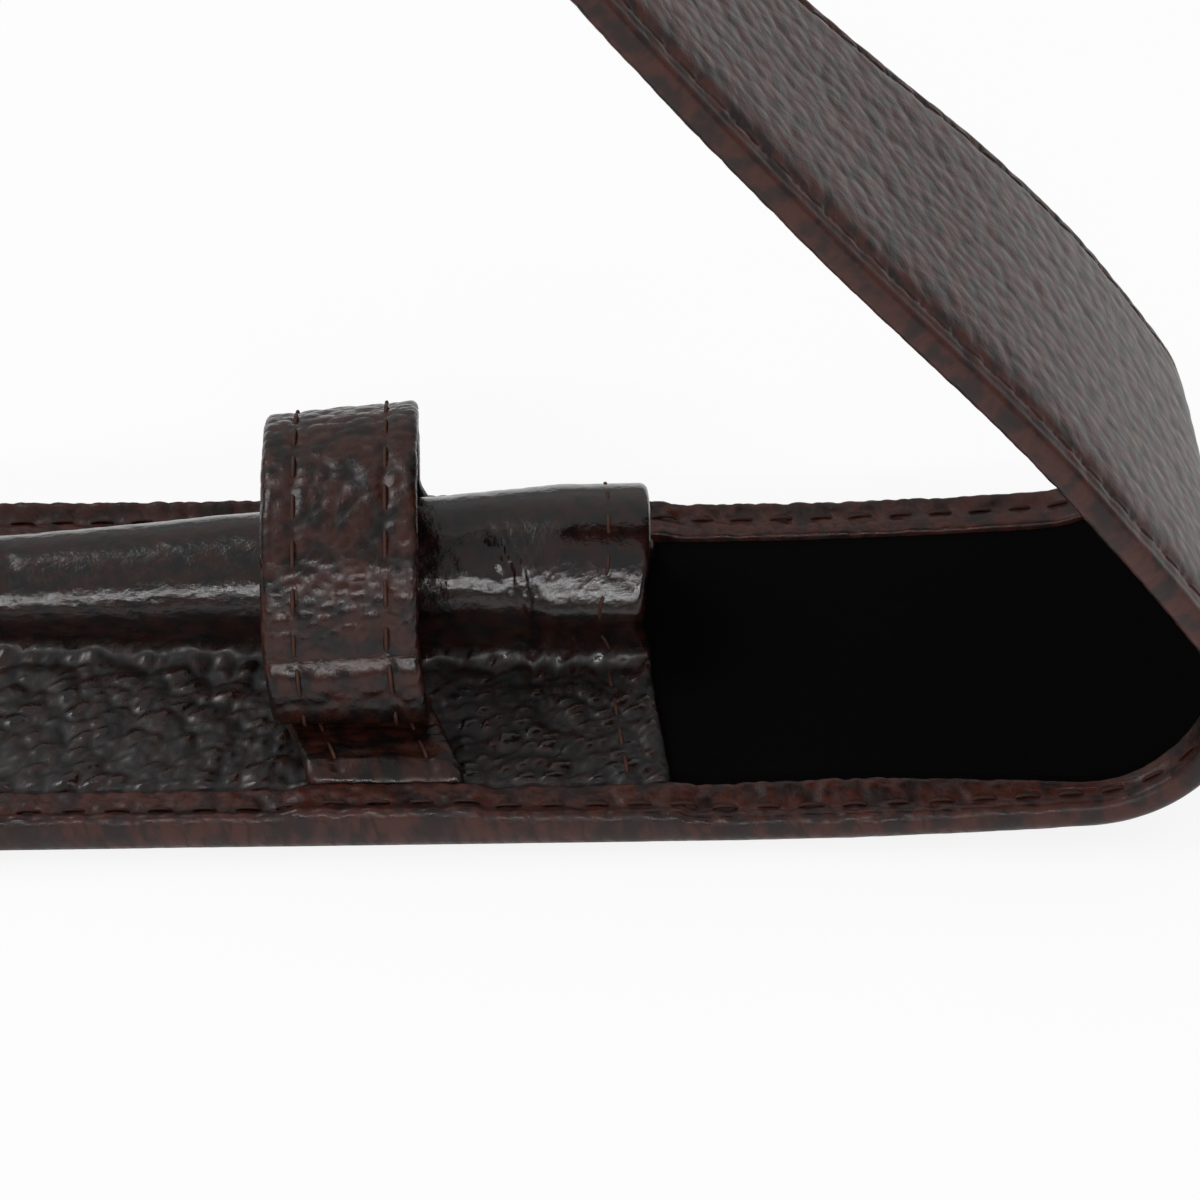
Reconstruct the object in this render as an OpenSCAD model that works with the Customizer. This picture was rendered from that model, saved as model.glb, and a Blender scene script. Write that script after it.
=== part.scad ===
// Single pen sleeve in turned-edge leather, with its flap open.
// The origin is on the underside below the pocket's mouth. +X runs towards the fold, +Z up.

/* [Sleeve] */
// Width across the sleeve and the flap
sleeve_w = 42; // [42:0.5:50]
// Depth from the pocket's mouth to the closed end
pocket_l = 120; // [114:1:140]
// Corner radius at the closed end
corner_r = 8; // [6:0.5:12]
// Width of the leather turned over the lining
lip_w = 4.6; // [3.5:0.1:5]

/* [Layers] */
// Thickness of the outer leather
leather_t = 1; // [0.8:0.1:1.4]
// Thickness of the bonded-fibre stiffener
core_t = 0.6; // [0.4:0.1:1]
// Thickness of the suede lining
lining_t = 0.5; // [0.4:0.1:0.8]
// Thickness of the leather where it is skived and turned over
lip_t = 0.7; // [0.5:0.1:1]

/* [Pocket] */
// Inside diameter of the channel at the mouth
channel_d = 11.8; // [10:0.2:12]
// Inside diameter of the channel where it has narrowed
waist_d = 7.4; // [7:0.2:10]
// Inside diameter of the channel at its toe
toe_d = 6.4; // [6:0.1:7]
// Channel centre, off the middle of the sleeve
channel_y = 6.2; // [4:0.2:6.4]
// Length at the mouth that keeps the full diameter
channel_full_l = 8; // [7:0.5:20]
// Distance from the mouth to where the channel has narrowed
waist_l = 56; // [45:1:70]
// Distance from the mouth to the channel's toe
channel_l = 98; // [80:1:104]
// How far the mouth's edge is drawn back on the channel's sides
mouth_dip = 2; // [0.5:0.1:2.6]
// Share of that by which the edge is already drawn back at the channel's foot, and is still at its crown
mouth_foot_dip = 0.55; // [0:0.05:0.6]
// Thickness of the front leather
front_t = 0.8; // [0.6:0.1:1.2]
// Thickness of the front lining
front_lining_t = 0.4; // [0.3:0.1:0.8]
// Thickness of the front leather where it is skived for the seam
front_edge_t = 0.5; // [0.4:0.1:0.6]
// Width of the hem turned in at the mouth
hem_w = 6; // [4:0.5:10]
// Radius where the front rises from flat to the channel
foot_r = 1.5; // [0.8:0.1:2]

/* [Keeper loop] */
// Width of the keeper loop's band
loop_w = 13; // [10:0.5:18]
// Distance from the mouth to the near edge of the loop's root
loop_x = 17.1; // [12:0.1:30]
// Inside radius of the loop's arch
loop_r = 12.1; // [11.5:0.1:13]
// Room between the loop's far side and the channel
loop_room = 0.7; // [0.5:0.1:1]
// Height of the loop's near side below the arch
loop_wall_h = 4.7; // [2:0.1:8]
// Outside radius of the roll at the foot of the near side
roll_r = 3; // [2.2:0.1:4]
// Outside radius of the crease where the band folds back over its near root
crease_r = 0.2; // [0.1:0.1:0.8]
// Angle that the band turns through at that crease
crease_a = 165; // [150:1:175]
// How far the arch leans away from the mouth
loop_lean = 3.7; // [0:0.1:5]
// Share of that lean that the near root takes up before the crease
root_lean = 0.45; // [0:0.05:0.6]
// Roll of the arch, its mouth side up
loop_roll = 7; // [0:0.5:10]
// Thickness of the loop's leather
loop_leather_t = 1; // [0.8:0.1:1.2]
// Thickness of the loop's lining
loop_lining_t = 0.5; // [0.3:0.1:0.8]
// Thickness of the loop's leather where it is skived for the seam
loop_edge_t = 0.5; // [0.4:0.1:0.6]
// Distance from the band's edge to its row of stitches
loop_stitch_in = 2.7; // [1.5:0.1:4]

/* [Fold] */
// Flat run from the mouth to where the sheet starts to lift
flat_l = 3; // [1:0.5:10]
// Length of the gentle lift before the fold
lift_l = 31.5; // [15:0.5:40]
// Angle at the end of the lift
lift_a = 4; // [1:0.5:10]
// Inside radius of the fold
bend_r = 11; // [9:0.1:16]
// Angle that the fold turns through
bend_a = 120; // [90:1:150]
// Clearance between neighbouring knuckles of the fold
knuckle_gap = 0.3; // [0.2:0.05:0.5]

/* [Flap] */
// Length of the flap past the fold
flap_l = 92; // [75:1:105]
// Radius of the flap's first stretch, which curls inward
curl_r = 172; // [120:1:300]
// Angle of that stretch
curl_a = 11.5; // [5:0.5:18]
// Radius of the tip stretch, which curls back
tip_r = 450; // [250:10:900]
// Distance past the fold at which the flap starts to narrow
taper_l = 15; // [5:0.5:40]
// Angle of each tapered edge
taper_a = 6.5; // [0.5:0.5:8]
// Corner radius at the flap's tip
tip_corner_r = 9; // [6:0.5:11]

/* [Stitching] */
// Distance from the edge to the row of stitches
stitch_in = 2.2; // [1.6:0.1:3]
// Distance from one stitch to the next
stitch_pitch = 3.6; // [3:0.1:5]
// Visible length of a stitch
stitch_l = 2.6; // [1.6:0.1:2.8]
// Diameter of the thread
thread_d = 0.5; // [0.3:0.05:0.8]
// Distance from the mouth's edge to its row of stitches
mouth_stitch_in = 3.6; // [2:0.1:5]

/* [Hidden] */

leather_colour = "#3b211c";
front_colour = "#2c1a17";
suede_colour = "#111111";
core_colour = "#8a7a66";
thread_colour = "#7a4a30";

$fn = 64;
// Gap left for the glue between two layers
glue = 0.02;
// Room left around a layer that is tucked into a turned edge
tuck_gap = 0.05;
// Width over which the front leather is skived down to its edge
skive_w = 0.8;
// Reach of cutting shapes past what they cut
past = 1;
// How far a thread stands off the leather that it crosses
thread_lift = 0.05;

half_w = sleeve_w / 2;
sheet_t = leather_t + core_t + lining_t;
front_stack_t = front_t + front_lining_t;
loop_t = loop_leather_t + loop_lining_t;
front_z = sheet_t + front_stack_t;
seam_z = sheet_t + front_edge_t;
lip_top_z = seam_z + lip_t;
lip_in = half_w - lip_w;
tuck_in = half_w - leather_t - tuck_gap;
thread_r = thread_d / 2;

// The sheet's inner face as a chain of arcs in the XZ plane: where each one starts, its centre and its angles
function normal_at(a) = [-sin(a), cos(a)];
lift_r = lift_l / lift_a * 180 / PI;
lift_c = [flat_l, sheet_t + lift_r];
lift_end = lift_c - lift_r * normal_at(lift_a);
bend_c = lift_end + bend_r * normal_at(lift_a);
bend_end_a = lift_a + bend_a;
bend_end = bend_c - bend_r * normal_at(bend_end_a);
curl_c = bend_end + curl_r * normal_at(bend_end_a);
curl_end_a = bend_end_a + curl_a;
curl_end = curl_c - curl_r * normal_at(curl_end_a);
curl_l = curl_r * curl_a * PI / 180;
tip_c = curl_end - tip_r * normal_at(curl_end_a);
bend_l = bend_r * bend_a * PI / 180;

// Knuckles: three pivots at even steps round the fold, halfway through the turned edge
knuckle_r = (sheet_t + lip_t) / 2 + 0.1;
knuckle_u = (sheet_t - lip_t) / 2;
function hinge_a(i) = lift_a + bend_a * (2 * i - 1) / 6;
function hinge_pos(i) = bend_c - (bend_r + knuckle_u) * normal_at(hinge_a(i));

// A point of the sheet, s along from the mouth and u outward from the inner face, and the direction there
lift_s = flat_l + lift_l;
bend_s = lift_s + bend_l;
curl_s = bend_s + curl_l;
function sheet_a(s) =
    s < flat_l ? 0
    : s < lift_s ? lift_a * (s - flat_l) / lift_l
    : s < bend_s ? lift_a + bend_a * (s - lift_s) / bend_l
    : s < curl_s ? bend_end_a + curl_a * (s - bend_s) / curl_l
    : curl_end_a - (s - curl_s) / tip_r * 180 / PI;
function sheet_at(s, u) =
    let (n = normal_at(sheet_a(s)))
    s < flat_l ? [s, sheet_t - u]
    : s < lift_s ? lift_c - (lift_r + u) * n
    : s < bend_s ? bend_c - (bend_r + u) * n
    : s < curl_s ? curl_c - (curl_r + u) * n
    : tip_c + (tip_r - u) * n;

// Stations along the sheet at which its profile turns. The hinges lie on them.
lift_n = 4;
bend_n = 24;
curl_n = 6;
tip_n = 6;
bend_step = bend_l / bend_n;
sheet_end = bend_s + flap_l + past;
sheet_stations = concat(
    [for (i = [0:lift_n]) flat_l + lift_l * i / lift_n],
    [for (i = [1:bend_n]) lift_s + bend_step * i],
    [for (i = [1:curl_n]) bend_s + curl_l * i / curl_n],
    [for (i = [1:tip_n]) curl_s + (sheet_end - curl_s) * i / tip_n]
);
slack = 0.001;
function stations_in(s0, s1) =
    concat([s0], [for (s = sheet_stations) if (s > s0 + slack && s < s1 - slack) s], [s1]);
function hinge_s(i) = lift_s + bend_l * (2 * i - 1) / 6;

module sheet_slab(s0, s1, u0, u1, width) {
    stations = stations_in(s0, s1);
    rotate([90, 0, 0]) linear_extrude(width, center = true) polygon(concat(
        [for (s = stations) sheet_at(s, u0)],
        [for (i = [len(stations) - 1:-1:0]) sheet_at(stations[i], u1)]
    ));
}

// One layer of the strip from s0 to s1. The leather is turned over both edges of the others.
module strip(layer, s0, s1) {
    if (layer == "leather") {
        difference() {
            sheet_slab(s0, s1, -lip_t, sheet_t, sleeve_w);
            sheet_slab(s0 - bend_step, s1 + bend_step, 0, sheet_t - leather_t, sleeve_w - 2 * leather_t);
            sheet_slab(s0 - bend_step, s1 + bend_step, -lip_t - past, past / 2, sleeve_w - 2 * lip_w);
        }
    }
    if (layer == "core") sheet_slab(s0, s1, lining_t + glue, sheet_t - leather_t - glue, 2 * tuck_in);
    if (layer == "lining") sheet_slab(s0, s1, glue, lining_t, 2 * tuck_in);
}

module knuckle(i, r) {
    translate([hinge_pos(i)[0], 0, hinge_pos(i)[1]])
        rotate([90, 0, 0])
            cylinder(r = r, h = sleeve_w + 4 * past, center = true);
}

// What is cut away to leave a rounded end at hinge i
module past_knuckle(i) {
    difference() {
        translate([hinge_pos(i)[0], 0, hinge_pos(i)[1]])
            rotate([0, -hinge_a(i), 0])
                translate([0, -half_w - past, -2 * knuckle_r])
                    cube([3 * bend_step, sleeve_w + 2 * past, 4 * knuckle_r]);
        knuckle(i, knuckle_r);
    }
}

// One rigid stretch of the fold, from hinge i to the next
module fold_layer(layer, i) {
    difference() {
        strip(layer, hinge_s(i), hinge_s(i + 1) + 2 * bend_step);
        past_knuckle(i + 1);
        knuckle(i, knuckle_r + knuckle_gap);
    }
}

// The back's share of a layer of the strip, with its lift and its rounded end
module lift_layer(layer) {
    difference() {
        strip(layer, flat_l, hinge_s(1) + 2 * bend_step);
        past_knuckle(1);
    }
}

// Outline of the sleeve drawn in by an inset, open-ended at x_end
module sleeve_outline(inset, x_end) {
    translate([corner_r - pocket_l, inset - half_w])
        square([x_end + pocket_l - corner_r, sleeve_w - 2 * inset]);
    translate([inset - pocket_l, corner_r - half_w]) square([corner_r - inset, sleeve_w - 2 * corner_r]);
    for (side = [-1, 1])
        translate([corner_r - pocket_l, side * (half_w - corner_r)]) circle(r = corner_r - inset);
}

module sleeve_slab(z0, z1, inset, x_end) {
    translate([0, 0, z0]) linear_extrude(z1 - z0) sleeve_outline(inset, x_end);
}

// A box over both rims where the loop's roots pass under them
module root_blocks(z0, z1, room, inner, outer) {
    for (side = [-1, 1])
        translate([-loop_x - loop_w - room, side > 0 ? inner : -outer, z0])
            cube([loop_w + 2 * room, outer - inner, z1 - z0]);
}

module back_leather() {
    color(leather_colour) {
        difference() {
            union() {
                sleeve_slab(0, lip_top_z, 0, 0);
                root_blocks(lip_top_z - past / 2, lip_top_z + loop_edge_t, lip_t + tuck_gap, lip_in, half_w);
            }
            sleeve_slab(leather_t, seam_z, leather_t, past);
            sleeve_slab(sheet_t, lip_top_z + past, lip_w, past);
            root_blocks(seam_z - past / 4, seam_z + loop_edge_t, tuck_gap, lip_in - past, tuck_in + tuck_gap);
        }
        difference() {
            translate([0, -half_w, 0]) cube([flat_l, sleeve_w, sheet_t + lip_t]);
            translate([-past, leather_t - half_w, leather_t])
                cube([flat_l + 2 * past, sleeve_w - 2 * leather_t, sheet_t - leather_t]);
            translate([-past, -lip_in, sheet_t - past / 2]) cube([flat_l + 2 * past, 2 * lip_in, lip_t + past]);
        }
        lift_layer("leather");
    }
}

// A flat inner layer of the back, with its lift and its part of the fold
module back_layer(layer, z0, z1) {
    sleeve_slab(z0, z1, leather_t + tuck_gap, flat_l);
    lift_layer(layer);
}

module back_core() {
    color(core_colour) back_layer("core", leather_t + glue, leather_t + core_t - glue);
}

module back_lining() {
    color(suede_colour) back_layer("lining", leather_t + core_t, sheet_t - glue);
}

// Front panel: its section at x is a list of points from the near edge to the far edge, on the face that lies
// depth below the outer one
function smooth(t) = let (c = min(1, max(0, t))) c * c * (3 - 2 * c);
function channel_r(x) =
    lookup(x, [[-channel_l, toe_d], [-waist_l, waist_d], [-channel_full_l, channel_d], [0, channel_d]]) / 2;
corner_x = corner_r - pocket_l;
toe_x = -channel_l;
dip_end = -hem_w - 3 * mouth_dip;
// The mouth's edge is drawn back along the flat, then up the channel's side, and less over its crown
dip_rise = [[0, 0], [0.15, 0.6], [0.3, 1], [0.5, 1], [0.8, 0.6], [1, mouth_foot_dip]];
dip_flat = [[skive_w - lip_in, 0], [channel_y - channel_d / 2 - front_stack_t - foot_r, mouth_foot_dip]];
function dip(x, y, z) =
    mouth_dip * max(lookup((z - front_z) / channel_d, dip_rise), y < channel_y ? lookup(y, dip_flat) : 0)
    * lookup(x, [[dip_end, 0], [-2 * tuck_gap - hem_w, 1]]);
function rise(x) = smooth((x - corner_x) / (toe_x - corner_x));
function round_in(x, inset) =
    x > corner_x ? half_w - inset
    : half_w - corner_r + sqrt(max(0, pow(corner_r - inset, 2) - pow(x - corner_x, 2)));
function skive(x, y) =
    min(1, max(0, min((round_in(x, lip_w) - tuck_gap - abs(y)) / skive_w, (x - lip_end_x) / skive_w)));
function arc_points(c, r, from_a, to_a, n) =
    [for (i = [0:n]) c + r * [cos(from_a + (to_a - from_a) * i / n), sin(from_a + (to_a - from_a) * i / n)]];
dome_n = 14;
foot_n = 4;
function front_crown(x, depth) =
    let (
        r = channel_r(x) + front_stack_t - depth,
        f = foot_r + depth,
        z = front_z - depth,
        c = sheet_t + channel_r(x)
    )
    concat(
        arc_points([channel_y - r - f, z + f], f, -90, 0, foot_n),
        arc_points([channel_y, c], r, 180, 0, dome_n),
        arc_points([channel_y + r + f, z + f], f, 180, 270, foot_n)
    );
function front_section(x, depth, edge_z) =
    let (
        z0 = front_z - depth,
        narrow = (round_in(x, lip_w) - tuck_gap - skive_w) / (lip_in - tuck_gap - skive_w),
        inside = [for (p = front_crown(x, depth)) [p[0] * narrow, z0 + (p[1] - z0) * rise(x)]],
        ramp = round_in(x, lip_w) - tuck_gap - skive_w
    )
    [for (p = concat([[-ramp, z0]], inside, [[ramp, z0]]))
        [x - dip(x, p[0], p[1]), p[0], edge_z + (p[1] - edge_z) * skive(x, p[0])]];
function front_ring(x, depth, edge_z) =
    let (out = round_in(x, leather_t + tuck_gap), lip = round_in(x, lip_w) - tuck_gap)
    concat(
        [[x, -out, edge_z], [x, -lip, edge_z]],
        front_section(x, depth, edge_z),
        [[x, lip, edge_z], [x, out, edge_z]]
    );

// A shell between matching rings of an outer and an inner face
module shell(outer, inner) {
    stations = len(outer);
    n = len(outer[0]);
    rings = [for (i = [0:stations - 1]) each concat(outer[i], [for (k = [n - 1:-1:0]) inner[i][k]])];
    m = 2 * n;
    sides = [for (i = [0:stations - 2], k = [0:m - 1])
        let (a = i * m + k, b = i * m + (k + 1) % m)
        each [[a, b, b + m], [a, b + m, a + m]]];
    last = (stations - 1) * m;
    caps = [for (k = [0:n - 2])
        let (a = k, b = k + 1, c = m - 2 - k, d = m - 1 - k)
        each [[a, d, c], [a, c, b], [last + a, last + c, last + d], [last + a, last + b, last + c]]];
    polyhedron(points = rings, faces = concat(sides, caps), convexity = 6);
}

function backward(v) = [for (i = [len(v) - 1:-1:0]) v[i]];
toe_steps = 5;
corner_steps = 4;
seam_end = leather_t + tuck_gap;
toe_stations = [for (i = [0:toe_steps]) toe_x + (corner_x - toe_x) * i / toe_steps];
lip_end_x = lip_w + tuck_gap - pocket_l;
corner_stations = [for (i = [1:corner_steps]) corner_x + (lip_end_x + skive_w - corner_x) * i / corner_steps];
seam_stations = [for (a = [40:11:84]) corner_x - (corner_r - seam_end) * sin(a)];

// Stations from the closed end to a hem at the mouth, where the leather is as thick as the whole front
module pocket_leather() {
    stations = backward(concat([-hem_w - tuck_gap, -channel_full_l, dip_end, -waist_l],
        toe_stations, corner_stations, [lip_end_x], seam_stations));
    color(front_colour)
        shell(
            concat([for (x = stations) front_ring(x, 0, seam_z - glue)],
                [for (x = [-hem_w, 0]) front_ring(x, 0, seam_z - glue)]),
            concat([for (x = stations) front_ring(x, front_t, sheet_t)],
                [for (x = [-hem_w, 0]) front_ring(x, front_stack_t, sheet_t)])
        );
}

module pocket_lining() {
    stations = backward(concat([-hem_w - 2 * tuck_gap, -channel_full_l, dip_end, -waist_l], toe_stations,
        corner_stations));
    color(suede_colour)
        shell(
            [for (x = stations) front_section(x, front_t + glue, sheet_t)],
            [for (x = stations) front_section(x, front_stack_t, sheet_t)]
        );
}

// Keeper loop: the band's path in the YZ plane, in steps of a length and a turn along its inner face
loop_z = front_z + glue;
loop_y = channel_y + channel_d / 2 + front_stack_t + loop_room - loop_r;
wall_a = 80;
crease_run = 0.7;
far_bend_h = 2.2;
function advance(p, step) =
    step[1] == 0 ? [p[0] + step[0] * cos(p[2]), p[1] + step[0] * sin(p[2]), p[2]]
    : let (r = step[0] / step[1] * 180 / PI, a = p[2] + step[1])
    [p[0] + r * (sin(a) - sin(p[2])), p[1] - r * (cos(a) - cos(p[2])), a];
function turned(r, a) = [r * abs(a) * PI / 180, a];
function walk(p, steps, i = 0) = i == len(steps) ? p : walk(advance(p, steps[i]), steps, i + 1);
near_steps = [
    turned(loop_t + crease_r, crease_a), [crease_run, 0],
    turned(roll_r - loop_t, wall_a - crease_a), [loop_wall_h, 0],
];
arch_start = walk([0, loop_z, 0], near_steps);
crease_y = loop_y - arch_start[0] - loop_r * sin(wall_a);
arch_z = arch_start[1] - loop_r * cos(wall_a);
arch_top = arch_z + loop_r - loop_z;
root_y = skive_w + loop_lining_t - lip_in;
loop_start = [root_y, loop_z, 0];
loop_steps = concat([[crease_y - root_y, 0]], near_steps,
    [turned(loop_r, -wall_a - 90), [arch_z - loop_z - far_bend_h, 0]]);
step_points = [1, 8, 1, 5, 2, 22, 2];
function trace(p, i = 0) =
    i == len(loop_steps) ? []
    : let (n = step_points[i])
    concat([for (k = [1:n]) advance(p, loop_steps[i] * k / n)], trace(advance(p, loop_steps[i]), i + 1));
function path_at(s, p = loop_start, i = 0) =
    s <= loop_steps[i][0] || i == len(loop_steps) - 1 ? advance(p, loop_steps[i] * (s / loop_steps[i][0]))
    : path_at(s - loop_steps[i][0], advance(p, loop_steps[i]), i + 1);
function off_path(q, u) = [q[0] - u * sin(q[2]), q[1] + u * cos(q[2])];
loop_poses = concat([loop_start], trace(loop_start));
function loop_face(u) = [for (q = loop_poses) off_path(q, u)];
// Where the band meets a rim it is skived from its full thickness to its edge
function near_root(edge) = [[-tuck_in, seam_z + edge], [tuck_gap - lip_in, seam_z + edge]];
function far_root(edge) = [[lip_in - tuck_gap, seam_z + edge], [tuck_in, seam_z + edge]];
// Heights over which the arch's two sides take up its lean. The near root takes up its share on the flat.
near_lean_h = 4;
far_lean_h = 7.5;
function root_share(y) = root_lean * min(1, max(0, (y - root_y) / (crease_y - root_y)));
function lean_share(y, h) =
    y < loop_y ? let (flat = root_share(y)) flat + (1 - flat) * smooth((h - loop_t) / near_lean_h)
    : smooth(h / far_lean_h);
function lean(p, side) =
    let (h = p[1] - loop_z)
    [side - loop_x - loop_w / 2 - loop_lean * lean_share(p[0], h), p[0],
        p[1] + side * sin(loop_roll) * smooth(h / arch_top)];

// A band between two matching faces, with its edges at plus and minus half its width
module ribbon(outer, inner, width) {
    shell(
        [for (side = [-1, 1]) [for (p = outer) lean(p, side * width / 2)]],
        [for (side = [-1, 1]) [for (p = inner) lean(p, side * width / 2)]]
    );
}

module loop_leather() {
    color(leather_colour)
        ribbon(
            concat(near_root(loop_edge_t - glue), loop_face(loop_t), far_root(loop_edge_t - glue)),
            concat(near_root(glue), loop_face(loop_lining_t), far_root(glue)),
            loop_w
        );
}

module loop_lining() {
    color(suede_colour)
        ribbon(loop_face(loop_lining_t - glue), loop_face(0), loop_w - 2 * leather_t);
}

module fold_1_leather() {
    color(leather_colour) fold_layer("leather", 1);
}

module fold_1_core() {
    color(core_colour) fold_layer("core", 1);
}

module fold_1_lining() {
    color(suede_colour) fold_layer("lining", 1);
}

module fold_2_leather() {
    color(leather_colour) fold_layer("leather", 2);
}

module fold_2_core() {
    color(core_colour) fold_layer("core", 2);
}

module fold_2_lining() {
    color(suede_colour) fold_layer("lining", 2);
}

// Flap: a curved slab between two depths, cut to the flap's outline
flap_back = 12;
function taper_y(x, inset) = half_w - inset / cos(taper_a) - tan(taper_a) * (x - taper_l);
tip_corner = [flap_l - tip_corner_r, taper_y(flap_l - tip_corner_r, tip_corner_r)];

module flap_outline(inset) {
    r = tip_corner_r - inset;
    start = taper_l - inset * tan(taper_a / 2);
    side = tip_corner + r * [sin(taper_a), cos(taper_a)];
    polygon([
        [-flap_back, inset - half_w], [start, inset - half_w], [side[0], -side[1]],
        [tip_corner[0] + r, -tip_corner[1]], [tip_corner[0] + r, tip_corner[1]],
        side, [start, half_w - inset], [-flap_back, half_w - inset],
    ]);
    for (m = [-1, 1]) translate([tip_corner[0], m * tip_corner[1]]) circle(r = r);
}

module flap_slab(u0, u1, inset, s0) {
    intersection() {
        sheet_slab(s0, sheet_end, u0, u1, 2 * sleeve_w);
        translate([bend_end[0], 0, bend_end[1]])
            rotate([0, -bend_end_a - curl_a / 2, 0])
                linear_extrude(4 * flap_back, center = true) flap_outline(inset);
    }
}

module flap_layer(u0, u1) {
    difference() {
        flap_slab(u0, u1, leather_t + tuck_gap, hinge_s(3));
        knuckle(3, knuckle_r + knuckle_gap);
    }
}

module flap_leather() {
    color(leather_colour)
        difference() {
            flap_slab(-lip_t, sheet_t, 0, hinge_s(3));
            flap_slab(0, sheet_t - leather_t, leather_t, hinge_s(3) - bend_step);
            flap_slab(-lip_t - past, past / 2, lip_w, hinge_s(3) - bend_step);
            knuckle(3, knuckle_r + knuckle_gap);
        }
}

module flap_core() {
    color(core_colour) flap_layer(lining_t + glue, sheet_t - leather_t - glue);
}

module flap_lining() {
    color(suede_colour) flap_layer(glue, lining_t);
}

// Stitches: short rods, each laid on the leather along its row
module stitch() {
    rotate([0, 90, 0]) cylinder(d = thread_d, h = stitch_l, center = true, $fn = 16);
}

// Stitches along the strip's two edges, from s0 to s1, on the face at depth u
module edge_row(s0, s1, u) {
    count = floor((s1 - s0) / stitch_pitch);
    for (i = [0:count - 1]) {
        s = s0 + (i + 0.5) * (s1 - s0) / count;
        p = sheet_at(s, u);
        narrow = max(0, s - bend_s - taper_l) * tan(taper_a);
        turn = s > bend_s + taper_l ? taper_a : 0;
        for (side = [-1, 1])
            translate([p[0], side * (half_w - stitch_in - narrow), p[1]])
                rotate([0, -sheet_a(s), 0]) rotate([0, 0, -side * turn]) stitch();
    }
}

outer_u = sheet_t + thread_r + thread_lift;
inner_u = -lip_t - thread_r - thread_lift;
knuckle_s = knuckle_r + knuckle_gap;

module back_thread() {
    row = half_w - stitch_in;
    top = lip_top_z + thread_r + thread_lift;
    turn_r = corner_r - stitch_in;
    count = floor(-corner_x / stitch_pitch);
    turns = max(1, floor(turn_r * PI / 2 / stitch_pitch));
    across = floor((sleeve_w - 2 * corner_r) / stitch_pitch);
    root_in = loop_x - lip_t - stitch_l;
    root_out = loop_x + loop_w + lip_t + stitch_l;
    color(thread_colour) {
        for (i = [0:count - 1], side = [-1, 1]) {
            x = corner_x * (i + 0.5) / count;
            raised = -x > root_in && -x < root_out ? loop_edge_t : 0;
            translate([x, side * row, top + raised]) stitch();
        }
        for (i = [0:turns - 1], side = [-1, 1]) {
            a = 90 * (i + 0.5) / turns;
            translate([corner_x - turn_r * sin(a), side * (half_w - corner_r + turn_r * cos(a)), top])
                rotate([0, 0, side * a]) stitch();
        }
        for (i = [0:across - 1])
            translate([stitch_in - pocket_l, (half_w - corner_r) * ((2 * i + 1) / across - 1), top])
                rotate([0, 0, 90]) stitch();
        edge_row(past, hinge_s(1) - stitch_l / 2, inner_u);
    }
}

module fold_thread(i) {
    from_s = hinge_s(i) + knuckle_s;
    to_s = hinge_s(i + 1);
    edge_row(from_s, to_s, outer_u);
    edge_row(from_s, to_s, inner_u);
}

module fold_1_thread() {
    color(thread_colour) fold_thread(1);
}

module fold_2_thread() {
    color(thread_colour) fold_thread(2);
}

// A stitch on the flap, x along it and y across, turned from the flap's length by an angle
module flap_stitch(x, y, turn, u) {
    p = sheet_at(bend_s + x, u);
    translate([p[0], y, p[1]]) rotate([0, -sheet_a(bend_s + x), 0]) rotate([0, 0, turn]) stitch();
}

module tip_row(u) {
    r = tip_corner_r - stitch_in;
    turns = floor(r * (90 - taper_a) * PI / 180 / stitch_pitch);
    across = floor(2 * tip_corner[1] / stitch_pitch);
    for (i = [0:turns - 1], side = [-1, 1]) {
        a = taper_a + (90 - taper_a) * (i + 0.5) / turns;
        flap_stitch(tip_corner[0] + r * sin(a), side * (tip_corner[1] + r * cos(a)), -side * a, u);
    }
    for (i = [0:across - 1])
        flap_stitch(flap_l - stitch_in, tip_corner[1] * ((2 * i + 1) / across - 1), 90, u);
}

module flap_thread() {
    from_s = hinge_s(3) + knuckle_s;
    to_s = bend_s + tip_corner[0];
    color(thread_colour)
        for (u = [outer_u, inner_u]) {
            edge_row(from_s, to_s, u);
            tip_row(u);
        }
}

// The row across the mouth runs over the flat panel and then round the channel
module mouth_thread() {
    r = channel_r(-mouth_stitch_in) + front_stack_t + thread_r + thread_lift;
    from_y = skive_w - lip_in;
    to_y = channel_y - r - foot_r;
    flat_n = floor((to_y - from_y) / stitch_pitch);
    dome_stitches = floor(r * PI / stitch_pitch);
    color(thread_colour) {
        for (i = [0:flat_n - 1]) {
            y = from_y + (to_y - from_y) * (i + 0.5) / flat_n;
            translate([-mouth_stitch_in - dip(0, y, front_z), y, front_z + thread_r + thread_lift])
                rotate([0, 0, 90]) stitch();
        }
        for (i = [0:dome_stitches - 1]) {
            a = 180 * (i + 0.5) / dome_stitches;
            y = channel_y + r * cos(a);
            z = sheet_t + channel_r(-mouth_stitch_in) + r * sin(a);
            translate([-mouth_stitch_in - dip(0, y, z), y, z])
                rotate([a + 90, 0, 0]) rotate([0, 0, 90]) stitch();
        }
    }
}

module loop_row(from_s, to_s) {
    count = floor((to_s - from_s) / stitch_pitch);
    for (i = [0:count - 1], side = [-1, 1]) {
        q = path_at(from_s + (i + 0.5) * (to_s - from_s) / count);
        translate(lean(off_path(q, loop_t + thread_r + thread_lift), side * (loop_w / 2 - loop_stitch_in)))
            rotate([q[2], 0, 0]) rotate([0, 0, 90]) stitch();
    }
}

module loop_thread() {
    wall_s = crease_y - root_y + near_steps[0][0] + near_steps[1][0] + near_steps[2][0];
    color(thread_colour) {
        loop_row(0, crease_y - root_y);
        loop_row(wall_s, wall_s + loop_wall_h + loop_steps[5][0] + loop_steps[6][0]);
    }
}

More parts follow.
